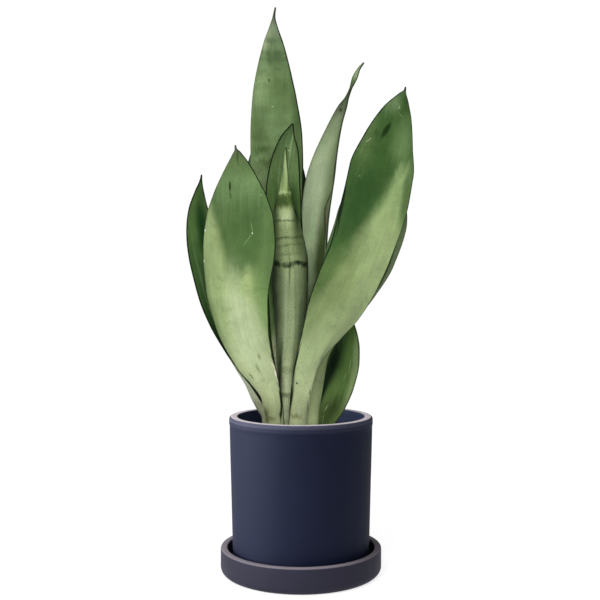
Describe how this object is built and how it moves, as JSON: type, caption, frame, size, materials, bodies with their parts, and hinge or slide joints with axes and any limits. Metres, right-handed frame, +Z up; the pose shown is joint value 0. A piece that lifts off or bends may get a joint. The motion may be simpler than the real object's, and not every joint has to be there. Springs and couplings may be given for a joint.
{
  "type": "potted moonshine snake plant",
  "caption": "Moonshine snake plant with broad pale grey-green leaves standing in potting soil, in a plain dark blue ceramic pot on its matching saucer.",
  "frame": {"origin": "middle of the saucer's flat underside, on the pot's centre line", "axes": "+Z up along the pot's centre line and the leaves, -Y towards the viewer of the picture, +X to its right"},
  "size_m": [0.1813, 0.1421, 0.4791],
  "materials": {
    "saucer": "satin",
    "pot": "satin",
    "soil": "matte",
    "rootstock": "matte",
    "leaf_pale": "satin",
    "leaf_green": "satin",
    "leaf_dark": "satin"
  },
  "bodies": {
    "root": {"saucer": "saucer", "pot": "pot", "soil": "soil", "rootstock": "rootstock", "leaf_front_left": "leaf_pale", "leaf_front_right": "leaf_pale", "leaf_centre_rolled": "leaf_green", "leaf_centre_open": "leaf_dark", "leaf_back_tall": "leaf_green", "leaf_back_wide": "leaf_dark", "leaf_curled_tip": "leaf_pale", "leaf_far_left": "leaf_dark", "leaf_behind_right": "leaf_pale", "leaf_short_right": "leaf_dark"}
  },
  "joints": []
}
